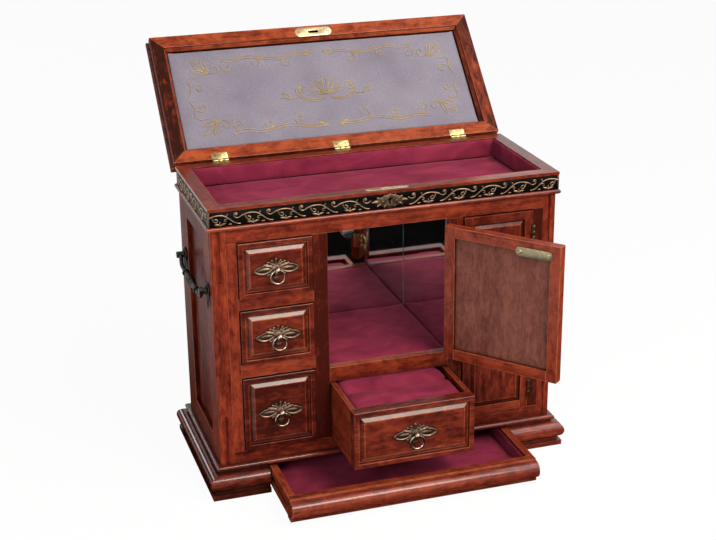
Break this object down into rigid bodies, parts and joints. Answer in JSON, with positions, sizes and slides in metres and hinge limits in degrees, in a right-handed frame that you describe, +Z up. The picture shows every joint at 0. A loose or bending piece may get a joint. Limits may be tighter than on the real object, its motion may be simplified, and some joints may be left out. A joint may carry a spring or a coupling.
{
  "type": "jewelry chest",
  "caption": "Wooden jewelry chest with a lined tray under a hinged lid, small drawers, a mirrored cupboard, a necklace door and a drawer in the base moulding.",
  "frame": {"origin": "centre of the underside of the base, on the floor plane", "axes": "+X to the viewer's right, +Y to the back, +Z up; the front faces -Y"},
  "size_m": [0.364, 0.3649, 0.3923],
  "materials": {
    "wood": "polished red-brown hardwood",
    "box_wood": "satin lighter hardwood",
    "velvet": "burgundy velvet",
    "lid_fabric": "woven mauve-grey fabric",
    "mirror": "silvered glass",
    "bronze": "antiqued bronze",
    "brass": "polished brass",
    "steel": "brushed steel"
  },
  "bodies": {
    "carcase": {"side_frames": "wood", "side_panels": "wood", "back_panel": "wood", "partitions": "wood", "front_rails": "wood", "shelves": "box_wood", "base_mouldings": "wood", "base_boards": "box_wood", "frieze_boards": "wood", "frieze_mouldings": "wood", "frieze_ornament": "bronze", "keyhole_escutcheon": "bronze", "lock_case": "brass", "tray_lining": "velvet", "velvet_pads": "velvet", "mirrors": "mirror", "hinge_fixed_leaves": "brass", "side_handle_posts": "bronze", "door_catch": "steel", "necklace_pegs": "brass"},
    "lid": {"lid_rails": "wood", "lid_panel": "wood", "lid_lining": "lid_fabric", "lid_fittings": "brass"},
    "centre_door": {"centre_door_frame": "wood", "centre_door_panel": "wood", "centre_door_pull_plate": "bronze", "centre_door_fittings": "brass"},
    "necklace_door": {"necklace_door_frame": "wood", "necklace_door_panel": "wood", "necklace_door_pull_plate": "bronze", "necklace_door_hinge_leaves": "brass"},
    "top_drawer": {"top_drawer_front": "wood", "top_drawer_box": "box_wood", "top_drawer_lining": "velvet", "top_drawer_pull_plate": "bronze"},
    "middle_drawer": {"middle_drawer_front": "wood", "middle_drawer_box": "box_wood", "middle_drawer_lining": "velvet", "middle_drawer_pull_plate": "bronze"},
    "bottom_drawer": {"bottom_drawer_front": "wood", "bottom_drawer_box": "box_wood", "bottom_drawer_lining": "velvet", "bottom_drawer_pull_plate": "bronze"},
    "ring_drawer": {"ring_drawer_front": "wood", "ring_drawer_box": "wood", "ring_drawer_cushion": "velvet", "ring_drawer_pull_plate": "bronze"},
    "base_drawer": {"base_drawer_front": "wood", "base_drawer_box": "box_wood", "base_drawer_lining": "velvet"},
    "lock_bolt": {"lock_bolt": "steel"},
    "pull_centre_door_ring": {"centre_door_ring": "bronze"},
    "pull_necklace_door_ring": {"necklace_door_ring": "bronze"},
    "pull_ring_drawer_ring": {"ring_drawer_ring": "bronze"},
    "left_bail": {"left_bail": "bronze"},
    "right_bail": {"right_bail": "bronze"},
    "pull_top_drawer_ring": {"top_drawer_ring": "bronze"},
    "pull_middle_drawer_ring": {"middle_drawer_ring": "bronze"},
    "pull_bottom_drawer_ring": {"bottom_drawer_ring": "bronze"}
  },
  "joints": [
    {"name": "lid_hinge", "type": "hinge", "parent": "carcase", "child": "lid", "pos_m": [0, 0.0743, 0.28715], "axis": [-1, 0, 0], "range_deg": [-134, 0]},
    {"name": "centre_door_hinge", "type": "hinge", "parent": "carcase", "child": "centre_door", "pos_m": [0.0595, -0.0762, 0.18425], "axis": [0, 0, 1], "range_deg": [-130, 0]},
    {"name": "necklace_door_hinge", "type": "hinge", "parent": "carcase", "child": "necklace_door", "pos_m": [0.145, -0.0735, 0.1475], "axis": [0, 0, 1], "range_deg": [0, 100]},
    {"name": "top_drawer_slide", "type": "slide", "parent": "carcase", "child": "top_drawer", "axis": [0, -1, 0], "range_m": [0, 0.085]},
    {"name": "middle_drawer_slide", "type": "slide", "parent": "carcase", "child": "middle_drawer", "axis": [0, -1, 0], "range_m": [0, 0.085]},
    {"name": "bottom_drawer_slide", "type": "slide", "parent": "carcase", "child": "bottom_drawer", "axis": [0, -1, 0], "range_m": [0, 0.085]},
    {"name": "ring_drawer_slide", "type": "slide", "parent": "carcase", "child": "ring_drawer", "axis": [0, -1, 0], "range_m": [-0.07, 0.02]},
    {"name": "base_drawer_slide", "type": "slide", "parent": "carcase", "child": "base_drawer", "axis": [0, -1, 0], "range_m": [-0.072, 0.015]},
    {"name": "top_drawer_pull", "type": "hinge", "parent": "top_drawer", "child": "pull_top_drawer_ring", "pos_m": [-0.10975, -0.0782, 0.2243], "axis": [-1, 0, 0], "range_deg": [-10, 95]},
    {"name": "middle_drawer_pull", "type": "hinge", "parent": "middle_drawer", "child": "pull_middle_drawer_ring", "pos_m": [-0.10975, -0.0782, 0.1583], "axis": [-1, 0, 0], "range_deg": [-10, 95]},
    {"name": "bottom_drawer_pull", "type": "hinge", "parent": "bottom_drawer", "child": "pull_bottom_drawer_ring", "pos_m": [-0.10975, -0.0782, 0.0803], "axis": [-1, 0, 0], "range_deg": [-10, 95]},
    {"name": "ring_drawer_pull", "type": "hinge", "parent": "ring_drawer", "child": "pull_ring_drawer_ring", "pos_m": [0, -0.1482, 0.07205], "axis": [-1, 0, 0], "range_deg": [-10, 95]},
    {"name": "necklace_door_pull", "type": "hinge", "parent": "necklace_door", "child": "pull_necklace_door_ring", "pos_m": [0.10975, -0.0782, 0.1475], "axis": [-1, 0, 0], "range_deg": [-10, 95]},
    {"name": "centre_door_pull", "type": "hinge", "parent": "centre_door", "child": "pull_centre_door_ring", "pos_m": [0.12338, -0.14922, 0.18425], "axis": [0.6428, -0.766, 0], "range_deg": [-10, 95]},
    {"name": "left_bail_hinge", "type": "hinge", "parent": "carcase", "child": "left_bail", "pos_m": [-0.175, 0, 0.203], "axis": [0, 1, 0], "range_deg": [-6, 110]},
    {"name": "right_bail_hinge", "type": "hinge", "parent": "carcase", "child": "right_bail", "pos_m": [0.175, 0, 0.203], "axis": [0, -1, 0], "range_deg": [-6, 110]},
    {"name": "lock_bolt_slide", "type": "slide", "parent": "carcase", "child": "lock_bolt", "axis": [0, 0, 1], "range_m": [0, 0.004]}
  ]
}
